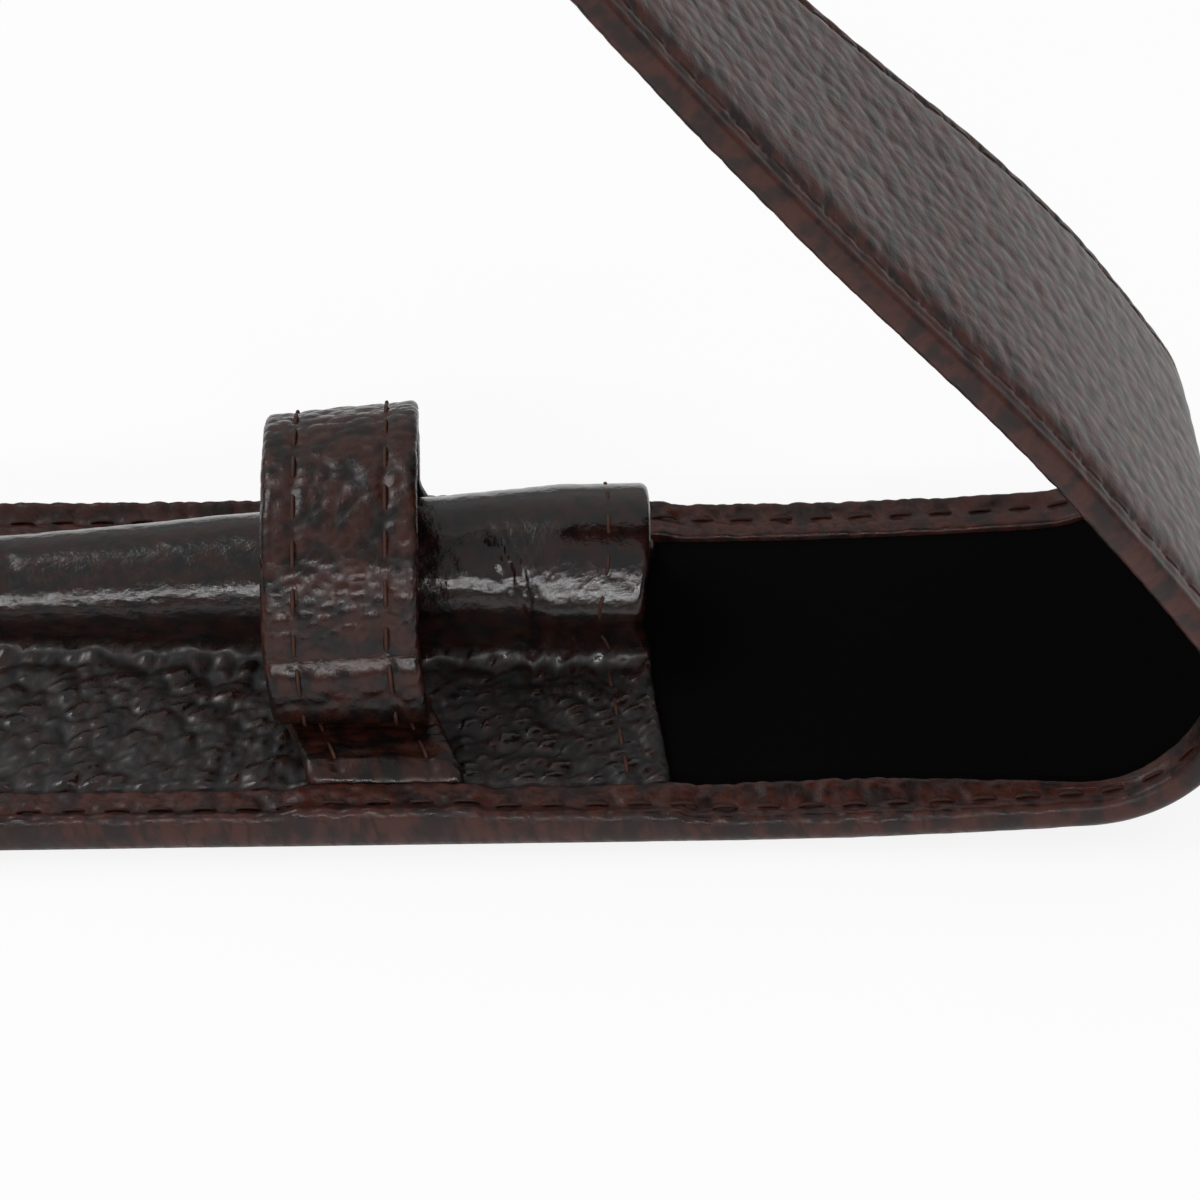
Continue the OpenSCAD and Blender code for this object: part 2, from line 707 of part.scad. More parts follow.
back_leather();
back_core();
back_lining();
back_thread();
pocket_leather();
pocket_lining();
mouth_thread();
loop_leather();
loop_lining();
loop_thread();
fold_1_leather();
fold_1_core();
fold_1_lining();
fold_1_thread();
fold_2_leather();
fold_2_core();
fold_2_lining();
fold_2_thread();
flap_leather();
flap_core();
flap_lining();
flap_thread();
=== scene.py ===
# %% [markdown]
# A slim single sleeve in turned-edge leather, dressed around its imported CAD model. A leather worker
# cuts each piece flat, turns its edges over, sews it and only then bends it to its form. The lesson
# works the same way. Each piece is modelled flat with Blender's own mesh tools, in millimetres, and
# is then laid along the curve that the CAD model gives it, in metres.
# %% Load the imported model
import itertools
import math

import bpy
import numpy as np
from mathutils import Matrix, Vector


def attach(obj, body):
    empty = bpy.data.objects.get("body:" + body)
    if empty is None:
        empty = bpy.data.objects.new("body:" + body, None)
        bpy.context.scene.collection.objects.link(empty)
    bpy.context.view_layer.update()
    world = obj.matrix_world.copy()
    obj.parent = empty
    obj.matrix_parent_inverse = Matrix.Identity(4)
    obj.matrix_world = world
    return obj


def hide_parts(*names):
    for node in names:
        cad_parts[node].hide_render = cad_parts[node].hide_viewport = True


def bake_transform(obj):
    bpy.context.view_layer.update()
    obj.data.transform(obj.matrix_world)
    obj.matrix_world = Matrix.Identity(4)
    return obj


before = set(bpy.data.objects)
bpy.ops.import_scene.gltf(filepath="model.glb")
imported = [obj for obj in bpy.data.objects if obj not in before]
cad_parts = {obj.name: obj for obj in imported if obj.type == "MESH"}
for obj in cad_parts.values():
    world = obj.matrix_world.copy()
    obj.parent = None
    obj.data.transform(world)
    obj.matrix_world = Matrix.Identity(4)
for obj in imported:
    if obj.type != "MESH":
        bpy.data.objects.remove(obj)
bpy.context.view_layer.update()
MM = 0.001

# %% [markdown]
# The camera stands where the photograph was taken from, on the open side of the loop and 37 degrees
# up. Its place and lens were worked out from the sleeve's own edges in the photograph. The optical
# axis meets the picture above its middle, and the lens shift says by how much.
# %% Camera
PICTURE = 1200
FOCAL_PX = 4088.69
AXIS_PX = 403
STAND = Vector((-16.8, -266.12, 234.43)) * MM
LOOK = Vector((0.0329, 0.7933, -0.608)).normalized()
ACROSS = Vector((0.9994, -0.0322, 0.012))
ACROSS = (ACROSS - ACROSS.dot(LOOK) * LOOK).normalized()

camera_data = bpy.data.cameras.new("camera")
camera_data.sensor_width = 36
camera_data.lens = FOCAL_PX / PICTURE * camera_data.sensor_width
camera_data.shift_y = (AXIS_PX - PICTURE / 2) / PICTURE
camera_data.clip_start = 0.01
camera = bpy.data.objects.new("camera", camera_data)
UPWARD = ACROSS.cross(LOOK)
camera.matrix_world = (
    Matrix.Translation(STAND)
    @ Matrix((ACROSS, UPWARD, -LOOK)).transposed().to_4x4()
)
bpy.context.scene.collection.objects.link(camera)
bpy.context.scene.camera = camera
bpy.context.scene.view_settings.view_transform = "Standard"
print("lens", round(camera_data.lens, 2), "shift", round(camera_data.shift_y, 4))

# %% [markdown]
# A finish is a small graph of nodes. Two helpers keep the graphs short: one turns a colour as it is
# written on a colour chart into the linear light that a renderer works with, the other adds one
# node with its settings, and links whatever sockets it is handed.
# %% Helpers for colours and nodes
def linear(text):
    rgb = [int(text[i:i + 2], 16) / 255 for i in (1, 3, 5)]
    return [c / 12.92 if c <= 0.04045 else ((c + 0.055) / 1.055) ** 2.4 for c in rgb] + [1]


def add(tree, kind, values=None, **settings):
    node = tree.nodes.new("ShaderNode" + kind)
    for name, value in settings.items():
        setattr(node, name, value)
    for key, value in (values or {}).items():
        if isinstance(value, bpy.types.NodeSocket):
            tree.links.new(value, node.inputs[key])
        else:
            node.inputs[key].default_value = value
    return node


def new_material(name, **sockets):
    material = bpy.data.materials.new(name)
    material.use_nodes = True
    shader = material.node_tree.nodes["Principled BSDF"]
    for socket, value in sockets.items():
        shader.inputs[socket.replace("_", " ")].default_value = value
    return material, material.node_tree, shader


# %% [markdown]
# The stage is a white table in a quiet grey studio. The camera, and all that mirrors the table,
# sees it glow nearly white, so its white takes no extra light on the sleeve. It still takes the
# sleeve's soft shadow. Dark glossy leather shows what it mirrors more than its own colour, so the
# lamps are placed by their reflections: a broad weak window behind and a ceiling for the even grey
# of the leather, a high box at the left for the sparkle on the flat grain, a narrow strip in front
# for the line along the channel, and a weak box at each side for the rims.
# %% Table and room
TABLE_DROP = 0.0004
TABLE_GLOW = 0.86
ROOM_LIGHT = 0.2

bpy.ops.object.select_all(action="DESELECT")
bpy.ops.mesh.primitive_plane_add(size=6, location=(0, 0, -TABLE_DROP))
table = bpy.context.object
table.name = "table"
table_paper, tree, shader = new_material(
    "white_table_paper", Base_Color=linear("#fafafa"), Roughness=1, Specular_IOR_Level=0)
rays = add(tree, "LightPath").outputs
seen = add(tree, "Math", {0: rays["Is Camera Ray"], 1: rays["Is Glossy Ray"]}, operation="MAXIMUM")
seen = add(tree, "Math", {0: seen.outputs[0], 1: rays["Is Transmission Ray"]}, operation="MAXIMUM")
share = add(tree, "Math", {0: seen.outputs[0], 1: TABLE_GLOW}, operation="MULTIPLY")
glow = add(tree, "Emission", {"Color": linear("#ffffff"), "Strength": 1})
paper = add(tree, "MixShader", {0: share.outputs[0], 1: shader.outputs[0], 2: glow.outputs[0]})
tree.links.new(paper.outputs[0], tree.nodes["Material Output"].inputs["Surface"])
table.data.materials.append(table_paper)

world = bpy.data.worlds.new("grey_studio")
bpy.context.scene.world = world
world.use_nodes = True
world.node_tree.nodes["Background"].inputs["Color"].default_value = linear("#ffffff")
world.node_tree.nodes["Background"].inputs["Strength"].default_value = ROOM_LIGHT
print("table glow", TABLE_GLOW, "room light", ROOM_LIGHT)


# %% Lamps
def lamp(name, azimuth, elevation, distance, width, height, watts):
    """A soft box that looks at the sleeve from an azimuth and an elevation in degrees."""
    data = bpy.data.lights.new(name, "AREA")
    data.shape = "RECTANGLE"
    data.size, data.size_y, data.energy = width, height, watts
    lamp_object = bpy.data.objects.new(name, data)
    a, e = math.radians(azimuth), math.radians(elevation)
    away = Vector((math.cos(a) * math.cos(e), math.sin(a) * math.cos(e), math.sin(e)))
    lamp_object.location = away * distance
    lamp_object.rotation_euler = away.to_track_quat("Z", "Y").to_euler()
    bpy.context.scene.collection.objects.link(lamp_object)


lamp("window_behind", 92, 45, 0.9, 1.6, 1.2, 1.8)
lamp("high_left_box", 163, 50, 0.8, 0.42, 0.42, 2.2)
lamp("left_box", 200, 40, 0.7, 0.5, 0.5, 0.3)
lamp("right_box", 2, 50, 0.7, 0.5, 0.5, 0.8)
lamp("ceiling", -90, 72, 0.8, 1.2, 1.1, 1.15)
lamp("front_strip", -95, 24, 0.8, 0.8, 0.014, 2.4)

# %% [markdown]
# Every form of the sleeve is a flat piece laid along a line of straight runs and arcs. A run is a
# length and a turn. The chord of an arc of length L that turns by d is L sin(d/2) / (d/2), and it
# points along the heading halfway through the turn, so one short function serves for every run,
# straight or bent. Two curves are used all through: smooth goes from 0 to 1 in a soft step, and
# hump is a round bump.
# %% Following a line of runs
def smooth(t):
    t = np.clip(t, 0, 1)
    return t * t * (3 - 2 * t)


def hump(value, middle, width):
    return np.exp(-((value - middle) / width) ** 2)


def arc(radius, degrees):
    """A run round a radius: its length and its turn."""
    turn = math.radians(degrees)
    return radius * abs(turn), turn


def follow(start, runs, where):
    """Place and heading at where, which counts runs: 2.5 is halfway along the third one."""
    y, z, heading = (value + 0 * where for value in start)
    for i, (length, turn) in enumerate(runs):
        part = np.clip(where - i, 0, 1)
        bend = turn * part
        chord = length * part * np.sinc(bend / 2 / np.pi)
        y = y + chord * np.cos(heading + bend / 2)
        z = z + chord * np.sin(heading + bend / 2)
        heading = heading + bend
    return y, z, heading


def count_runs(along, lengths):
    ends = np.concatenate([[0], np.cumsum(lengths)])
    return np.interp(along, ends, np.arange(len(ends)))


# %% [markdown]
# Leather is never flat: it has pillows of grain with creases between them. Where these are big
# enough to change the outline, they are moved in the mesh. Two patterns are enough. A cloud drifts
# softly between random heights, and cells are raised pillows round random spots, with a crease
# where two of them meet. Both read the flat piece, so that the grain bends with the leather.
# %% Relief patterns
def cloud(p, size, seed):
    heights = np.random.RandomState(seed).rand(32, 32, 32)
    q = p / size
    corner = np.floor(q).astype(int)
    f = smooth(q - corner)
    total = 0
    for step in itertools.product((0, 1), repeat=3):
        share = np.prod(np.where(step, f, 1 - f), axis=1)
        total = total + share * heights[tuple(((corner + step) % 32).T)]
    return total - 0.5


def pillows(p, size, seed):
    """Domes that are 1 at their middles, and 0 to 1 from the creases inwards."""
    jitter = np.random.RandomState(seed).rand(24, 24, 24, 3)
    q = p / size
    corner = np.floor(q).astype(int)
    first = np.full(len(p), 9.0)
    second = first.copy()
    for step in itertools.product((-1, 0, 1), repeat=3):
        cell = corner + step
        away = np.linalg.norm(q - cell - jitter[tuple((cell % 24).T)], axis=1)
        second = np.minimum(second, np.maximum(first, away))
        first = np.minimum(first, away)
    return 1 - first ** 2, np.minimum((second - first) / 0.5, 1)


def drift(p, size, seed):
    """Two clouds that push a flat pattern about, so that its cells aren't all alike."""
    return np.stack([cloud(p, size, seed), cloud(p, size, seed + 1), 0 * p[:, 0]], 1)


# %% [markdown]
# These are the sizes of the CAD model, in millimetres, that the flat pieces follow. The strip runs
# from the closed end, along the sleeve, up through the fold, and along the flap to its tip.
# %% Sizes taken from the CAD model
SLEEVE_W = 42
POCKET_L = 120
CORNER_R = 8
LIP_W = 4.6
SHEET_T = 2.1
LIP_T = 0.7
FRONT_T = 1.2
FRONT_EDGE_T = 0.5
FRONT_Z = SHEET_T + FRONT_T
STITCH_IN = 2.2
STITCH_PITCH = 3.6
LOOP_W = 13
LOOP_X = -23.6
HALF_W = SLEEVE_W / 2
FLAT_L = 3
FLAP_L = 92
TAPER_L = 15
TAPER = math.tan(math.radians(6.5))
TIP_R = 9
EDGE_BAND = 6
LIFT = (31.5, math.radians(4))
BEND = arc(11, 120)
CURL = arc(172, 11.5)
BEND_S = FLAT_L + LIFT[0] + BEND[0]
TIP_S = BEND_S + FLAP_L
tip_run = FLAP_L - CURL[0]
STRIP_RUNS = [(POCKET_L + FLAT_L, 0), LIFT, BEND, CURL, (tip_run, -tip_run / 450)]
print("strip, flat:", round(POCKET_L + TIP_S, 1), "mm long,", SLEEVE_W, "mm wide")


def bend_s(angle):
    """How far along the strip the fold has turned to this angle."""
    return FLAT_L + LIFT[0] + (math.radians(angle) - LIFT[1]) / BEND[1] * BEND[0]


def strip_line(s):
    """The inner face of the strip at s from the mouth: x, z and heading."""
    where = count_runs(s + POCKET_L, [length for length, turn in STRIP_RUNS])
    return follow((-POCKET_L, SHEET_T, 0), STRIP_RUNS, where)


# %% [markdown]
# The outline has round corners and a flap that narrows. The flat panels are made square, and this
# step rounds them: each corner square is drawn onto a quarter disc, ring by ring, and the flap's
# sides move in.
# %% Rounding corners and narrowing the flap
def round_corner(s, y, at_s, sign, r):
    """Draws the squares at one end onto quarter discs of radius r."""
    p = sign * (s - at_s) / r + 1
    q = (np.abs(y) - (HALF_W - r)) / r
    inside = (p > 0) & (q > 0)
    big = np.maximum(np.maximum(p, q), 1e-9)
    turn = np.where(p >= q, np.pi / 4 * q / big, np.pi / 2 - np.pi / 4 * p / big)
    s2 = at_s + sign * (big * np.cos(turn) - 1) * r
    y2 = np.sign(y) * (HALF_W - r + big * np.sin(turn) * r)
    return np.where(inside, s2, s), np.where(inside, y2, y)


def outline(s, y):
    s, y = round_corner(s, y, -POCKET_L, -1, CORNER_R)
    s, y = round_corner(s, y, TIP_S, 1, TIP_R)
    narrow = np.maximum(0, s - BEND_S - TAPER_L) * TAPER
    side = HALF_W - EDGE_BAND
    drawn = np.where(np.abs(y) < side, np.abs(y) * (1 - narrow / side), np.abs(y) - narrow)
    return s, np.sign(y) * drawn


def lip_rise(s):
    """Extra height of the turned edge where it covers the front's seam, and over the loop's two roots."""
    over_front = FRONT_EDGE_T * smooth((2.6 - s) / 2.6)
    over_root = 0.5 * smooth((LOOP_W / 2 + 2.2 - np.abs(s - LOOP_X)) / 1.6)
    return over_front + over_root


def lay_strip(p):
    """Lays flat points (along, across, height over the inner face) along the strip."""
    x, z, heading = strip_line(p[:, 0])
    return np.stack([x - p[:, 2] * np.sin(heading), p[:, 1], z + p[:, 2] * np.cos(heading)], 1)


# %% [markdown]
# Two helpers read and write a mesh's points as one array. The panel helper makes the start of
# nearly every piece: a grid the size of the cut leather, whose border is then extruded ring by ring
# along a profile, as an edge is turned over by hand. A profile step is how far the ring lies in
# from the outline, and its height.
# %% Panels with turned edges
def get_points(piece):
    flat = np.empty(len(piece.data.vertices) * 3)
    piece.data.vertices.foreach_get("co", flat)
    return flat.reshape(-1, 3)


def set_points(piece, points):
    piece.data.vertices.foreach_set("co", points.astype(np.float32).ravel())
    piece.data.update()


def normals_of(piece):
    normals = np.empty(len(piece.data.vertices) * 3, np.float32)
    piece.data.vertex_normals.foreach_get("vector", normals)
    return normals.reshape(-1, 3)


def panel(name, x0, x1, y0, y1, height, cell, profile=()):
    bpy.ops.object.select_all(action="DESELECT")
    inset = profile[0][0] if profile else 0
    size = (x1 - x0 - 2 * inset, y1 - y0 - 2 * inset)
    centre = ((x0 + x1) / 2, (y0 + y1) / 2, height)
    bpy.ops.mesh.primitive_grid_add(
        x_subdivisions=max(1, round(size[0] / cell)), y_subdivisions=max(1, round(size[1] / cell)),
        size=1, location=centre)
    piece = bpy.context.object
    piece.name = piece.data.name = name
    piece.scale = (size[0], size[1], 1)
    bpy.ops.object.transform_apply(location=True, rotation=True, scale=True)
    bpy.ops.object.mode_set(mode="EDIT")
    bpy.ops.mesh.select_all(action="SELECT")
    bpy.ops.mesh.region_to_loop()
    before = profile[0] if profile else None
    for step in profile[1:]:
        old = (x1 - x0 - 2 * before[0], y1 - y0 - 2 * before[0])
        new = (x1 - x0 - 2 * step[0], y1 - y0 - 2 * step[0])
        bpy.ops.mesh.extrude_edges_move(TRANSFORM_OT_translate={"value": (0, 0, step[1] - before[1])})
        bpy.ops.transform.resize(value=(new[0] / old[0], new[1] / old[1], 1), center_override=centre)
        before = step
    bpy.ops.object.mode_set(mode="OBJECT")
    return piece


def cut(piece, name, x_from, x_to):
    """A copy of a flat piece between two places along it."""
    part = piece.copy()
    part.data = piece.data.copy()
    part.name = part.data.name = name
    bpy.context.scene.collection.objects.link(part)
    bpy.ops.object.select_all(action="DESELECT")
    part.select_set(True)
    bpy.context.view_layer.objects.active = part
    bpy.ops.object.mode_set(mode="EDIT")
    for place, facing in ((x_from, -1), (x_to, 1)):
        if place is not None:
            bpy.ops.mesh.select_all(action="SELECT")
            bpy.ops.mesh.bisect(plane_co=(place, 0, 0), plane_no=(facing, 0, 0), clear_outer=True)
    bpy.ops.object.mode_set(mode="OBJECT")
    return part


def keep_flat(piece, flat):
    """Stores the flat place of each point, in millimetres, for the finishes to read."""
    layer = piece.data.attributes.new("flat", "FLOAT_VECTOR", "POINT")
    layer.data.foreach_set("vector", flat.astype(np.float32).ravel())


def keep_value(piece, name, values):
    layer = piece.data.attributes.new(name, "FLOAT", "POINT")
    layer.data.foreach_set("value", values.astype(np.float32))


def finish_piece(piece, material):
    for face in piece.data.polygons:
        face.use_smooth = True
    piece.data.materials.clear()
    piece.data.materials.append(material)
    print(piece.name, len(piece.data.polygons), "faces")


# %% [markdown]
# The leather is drum-dyed calf in two tones. The pillows of its grain are nearly black where the
# top coat is whole and red-brown where it is rubbed. The creases between them are dull. They get a
# darker colour that is partly the leather's own dark valleys and partly painted shade where the
# creases fall into shadow. On the front that colour is near-black and mostly painted shade. A wax
# finish gives it a soft shine, and a harder one on the front. The pillows are in the mesh, which
# also stores where they are, as "cells". The graph follows that: noise says where they are rubbed,
# the cells tell them from the creases in colour, with that painted shade, and in gloss, and finer
# cells raise the skin's own texture.
# %% Grained leather
def grained_leather(name, tops, worn, crease_colour_and_shade, rough, crease_rough, specular, skin_mm):
    material, tree, shader = new_material(name, Specular_IOR_Level=specular)
    flat = add(tree, "Attribute", attribute_name="flat").outputs["Vector"]
    cells = add(tree, "Attribute", attribute_name="cells").outputs["Fac"]

    # The flat place is in millimetres: rubbed patches are 2 mm wide, skin cells 0.4 mm, the rest 0.2 mm.
    patches = add(tree, "TexNoise", {"Vector": flat, "Scale": 0.5, "Detail": 5})
    skin = add(tree, "TexVoronoi", {"Vector": flat, "Scale": 2.6}, feature="SMOOTH_F1")
    fine = add(tree, "TexNoise", {"Vector": flat, "Scale": 5, "Detail": 3})
    height = add(tree, "Math", {0: skin.outputs["Distance"], 1: fine.outputs[0]}, operation="ADD")
    bump = add(tree, "Bump", {"Height": height.outputs[0], "Distance": skin_mm * MM, "Strength": 1})
    steps = {0: patches.outputs[0], 1: 0.4, 2: 0.62}
    whole = add(tree, "MapRange", steps, interpolation_type="SMOOTHSTEP")
    pillow = add(tree, "Mix", {0: whole.outputs[0], 6: linear(worn), 7: linear(tops)}, data_type="RGBA")
    level = add(tree, "Math", {0: cells, 1: patches.outputs[0]}, operation="MULTIPLY")
    # Where the pillow map is low the crease colour comes in: partly the creases' own dye, partly painted
    # shade.
    steps = {0: level.outputs[0], 1: 0.0, 2: 0.14}
    crease_and_shade_mask = add(tree, "MapRange", steps, interpolation_type="SMOOTHSTEP")
    tones = {0: crease_and_shade_mask.outputs[0], 6: linear(crease_colour_and_shade), 7: pillow.outputs[2]}
    colour = add(tree, "Mix", tones, data_type="RGBA")
    gloss = add(tree, "MapRange", {0: cells, 1: 0.1, 2: 0.6, 3: crease_rough, 4: rough})
    tree.links.new(colour.outputs[2], shader.inputs["Base Color"])
    tree.links.new(gloss.outputs[0], shader.inputs["Roughness"])
    tree.links.new(bump.outputs[0], shader.inputs["Normal"])
    return material


# The third colour of each finish is its creases': partly their own dark dye, partly painted shade;
# near-black and mostly painted shade on the front.
edge_leather = grained_leather(
    "two_tone_pebbled_calf", "#1f1210", "#401f18", "#24120e", 0.3, 0.5, 0.34, 0.02)
loop_leather = grained_leather(
    "two_tone_drawn_calf", "#150e0d", "#351a13", "#1c0e0b", 0.22, 0.55, 0.34, 0.02)
front_leather = grained_leather(
    "glossy_creased_calf", "#100b0b", "#24120e", "#090606", 0.16, 0.6, 0.52, 0.016)

# %% [markdown]
# Suede is brushed to a nap that swallows light, so it is nearly black and has almost no shine. The
# thread is waxed and takes its dye unevenly. The stiffener is board of bonded leather fibre, and
# its fibres make it mottled. Its shape is right as it is in the CAD model, so those nodes stay and
# only get this finish.
# %% Suede, thread and stiffener
black_suede, tree, shader = new_material(
    "black_suede", Base_Color=linear("#050506"), Roughness=1, Specular_IOR_Level=0.05)
flat = add(tree, "Attribute", attribute_name="flat").outputs["Vector"]
nap = add(tree, "TexNoise", {"Vector": flat, "Scale": 5, "Detail": 4})
bump = add(tree, "Bump", {"Height": nap.outputs[0], "Distance": 0.15 * MM, "Strength": 0.6})
tree.links.new(bump.outputs[0], shader.inputs["Normal"])


def thread_finish(name, dark, light):
    material, tree, shader = new_material(name, Roughness=0.7, Specular_IOR_Level=0.3)
    flat = add(tree, "Attribute", attribute_name="flat").outputs["Vector"]
    dye = add(tree, "TexNoise", {"Vector": flat, "Scale": 1.5, "Detail": 3})
    tone = add(tree, "Mix", {0: dye.outputs[0], 6: linear(dark), 7: linear(light)}, data_type="RGBA")
    tree.links.new(tone.outputs[2], shader.inputs["Base Color"])
    return material


tan_thread = thread_finish("waxed_tan_thread", "#24130e", "#533326")
dark_thread = thread_finish("waxed_brown_thread", "#24130f", "#3d2119")

board, tree, shader = new_material("bonded_leather_board", Base_Color=linear("#8a7a66"), Roughness=0.9)

# Object coordinates are in metres, so a scale of 900 makes fibres about 1 mm long.
place = add(tree, "TexCoord").outputs["Object"]
fibre = add(tree, "TexNoise", {"Vector": place, "Scale": 900, "Detail": 4})
tones = {0: fibre.outputs[0], 6: linear("#74654f"), 7: linear("#9b8b74")}
tone = add(tree, "Mix", tones, data_type="RGBA")
tree.links.new(tone.outputs[2], shader.inputs["Base Color"])
for node in ("back_core", "fold_1_core", "fold_2_core", "flap_core"):
    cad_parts[node].data.materials.clear()
    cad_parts[node].data.materials.append(board)
print("finishes:", [m.name for m in (edge_leather, loop_leather, front_leather, black_suede, board)])

# %% [markdown]
# A stitch is modelled once, lying flat along X: a short bead of thread whose two ends dive into
# their holes. Rows of it are laid on the flat leather and bent with it.
# %% One stitch
STITCH_DIVE = 0.5
STITCH_END = 0.45


def make_stitch(length=2.6, radius=0.17, rings=6):
    """A round of thread, extruded along X ring by ring: it swells, arches and dives again."""
    bpy.ops.object.select_all(action="DESELECT")
    bpy.ops.mesh.primitive_circle_add(
        vertices=6, radius=radius * STITCH_END, fill_type="NGON",
        location=(-length / 2, 0, -STITCH_DIVE), rotation=(0, math.pi / 2, 0))
    piece = bpy.context.object
    bpy.ops.object.transform_apply(location=True, rotation=True, scale=True)
    bpy.ops.object.mode_set(mode="EDIT")
    bpy.ops.mesh.select_all(action="SELECT")
    before = (-1, STITCH_END)
    for i in range(1, rings + 1):
        t = 2 * i / rings - 1
        thick = 1 - (1 - STITCH_END) * t ** 6
        rise = -STITCH_DIVE * (t ** 4 - before[0] ** 4)
        step = ((t - before[0]) * length / 2, 0, rise)
        bpy.ops.mesh.extrude_region_move(TRANSFORM_OT_translate={"value": step})
        grow = thick / before[1]
        middle = (t * length / 2, 0, -STITCH_DIVE * t ** 4)
        bpy.ops.transform.resize(value=(1, grow, grow), center_override=middle)
        before = (t, thick)
    bpy.ops.mesh.select_all(action="SELECT")
    bpy.ops.mesh.normals_make_consistent(inside=False)
    bpy.ops.object.mode_set(mode="OBJECT")
    return piece


stitch = make_stitch()
STITCH_POINTS = np.array([v.co[:] for v in stitch.data.vertices])
STITCH_FACES = [tuple(face.vertices) for face in stitch.data.polygons]
bpy.data.objects.remove(stitch)
print("one stitch:", len(STITCH_POINTS), "points,", len(STITCH_FACES), "faces")


# %% Rows of stitches
def even_places(line, pitch):
    """Centres and headings of stitches at even steps along a flat line of points."""
    steps = np.linalg.norm(np.diff(line, axis=0), axis=1)
    along = np.concatenate([[0], np.cumsum(steps)])
    count = max(1, int(round(along[-1] / pitch)))
    wanted = (np.arange(count) + 0.5) * along[-1] / count

    def at(distance):
        return np.stack([np.interp(distance, along, column) for column in line.T], 1)

    spots = at(wanted)
    direction = at(wanted + 0.2) - at(wanted - 0.2)
    return spots, np.arctan2(direction[:, 1], direction[:, 0])


def stitches(name, places, lay, thread):
    """One mesh of stitches. A place is along, across, height, heading, and 1 or -1 for its face."""
    points, faces = [], []
    x0, y0, z0 = STITCH_POINTS.T
    for s, y, h, heading, facing in places:
        base = len(points) * len(STITCH_POINTS)
        c, d = math.cos(heading), math.sin(heading)
        points.append(np.stack([s + x0 * c - y0 * d, y + x0 * d + y0 * c, h + facing * z0], 1))
        faces += [tuple(base + k for k in (face if facing > 0 else face[::-1])) for face in STITCH_FACES]
    flat = np.concatenate(points)
    mesh = bpy.data.meshes.new(name)
    mesh.from_pydata((lay(flat) * MM).tolist(), [], faces)
    piece = bpy.data.objects.new(name, mesh)
    bpy.context.scene.collection.objects.link(piece)
    keep_flat(piece, flat)
    finish_piece(piece, thread)
    return piece


# %% [markdown]
# The strip is one piece of leather from the closed end to the flap's tip. Its edge rolls over the
# stiffener and comes back as a flat lip with a row of stitches. It is modelled whole and flat, then
# cut in three where the fold turns from one stretch to the next, because a piece can bend across
# one joint only.
# %% The strip's leather, flat
OUTER_ROUND = (2.0, 1.5)
LIP_ROUND = 0.9
LIP_END_R = 0.4


def quarter(cx, cz, rx, rz, a0, a1, n):
    """Profile steps round a quarter of an oval, angles in degrees, without its first point."""
    angles = [math.radians(a0 + (a1 - a0) * i / n) for i in range(1, n + 1)]
    return [(cx + rx * math.cos(a), cz + rz * math.sin(a)) for a in angles]


EDGE_PROFILE = [(OUTER_ROUND[0], -SHEET_T)]
EDGE_PROFILE += quarter(OUTER_ROUND[0], OUTER_ROUND[1] - SHEET_T, *OUTER_ROUND, 270, 180, 7)
EDGE_PROFILE += quarter(LIP_ROUND, LIP_T - LIP_ROUND, LIP_ROUND, LIP_ROUND, 180, 90, 5)
EDGE_PROFILE += [(1.2 + 0.3 * i, LIP_T) for i in range(10)] + [(LIP_W - LIP_END_R, LIP_T)]
EDGE_PROFILE += quarter(LIP_W - LIP_END_R, LIP_T - LIP_END_R, LIP_END_R, LIP_END_R, 90, 0, 3)
EDGE_PROFILE += [(LIP_W, -0.3)]
cell = 0.36
strip_flat = panel("strip_flat", -POCKET_L, TIP_S, -HALF_W, HALF_W, -SHEET_T, cell, EDGE_PROFILE)
strip_flat.data.flip_normals()
print("strip:", len(strip_flat.data.polygons), "faces")
CUT_1, CUT_2 = bend_s(44), bend_s(84)

# %% [markdown]
# One row of stitches goes all round the strip, 2.2 mm in from the edge. Its line is planned flat,
# in the same three stretches as the leather, and follows the outline round the corners. The ends of
# each stitch are kept too, because the leather dips there.
# %% Lines of the strip's stitches
HOLE_AT = 1.4


def edge_line(s0, s1, side):
    s = np.linspace(s0, s1, 200)
    return np.stack(outline(s, np.full_like(s, side * (HALF_W - STITCH_IN))), 1)


def end_line(at_s, sign, s_side):
    """From one long side round the end to the other."""
    d = STITCH_IN
    y = HALF_W - d
    first = np.stack([np.linspace(s_side, at_s - sign * d, 160), np.full(160, -y)], 1)
    across = np.stack([np.full(240, at_s - sign * d), np.linspace(-y, y, 240)], 1)
    square = np.concatenate([first, across[1:], first[::-1][1:] * (1, -1)])
    return np.stack(outline(square[:, 0], square[:, 1]), 1)


SIDE_S = -POCKET_L + CORNER_R
sleeve_parts = ((SIDE_S, bend_s(24)), (bend_s(24), CUT_1))
zones = {
    "sleeve": [end_line(-POCKET_L, -1, SIDE_S)]
    + [edge_line(a, b, side) for side in (-1, 1) for a, b in sleeve_parts],
    "fold": [edge_line(CUT_1, CUT_2, side) for side in (-1, 1)],
    "flap": [end_line(TIP_S, 1, TIP_S - TIP_R)]
    + [edge_line(CUT_2, TIP_S - TIP_R, side) for side in (-1, 1)],
}
rows = {}
for zone, lines in zones.items():
    spots, headings = zip(*[even_places(line, STITCH_PITCH) for line in lines])
    rows[zone] = (np.concatenate(spots), np.concatenate(headings))
    print(zone, len(rows[zone][0]), "stitches a side")
all_spots = np.concatenate([rows[zone][0] for zone in rows])
all_headings = np.concatenate([rows[zone][1] for zone in rows])
ahead = np.stack([np.cos(all_headings), np.sin(all_headings)], 1)
holes = np.concatenate([all_spots + HOLE_AT * ahead, all_spots - HOLE_AT * ahead])
print("holes:", len(holes), "a face")


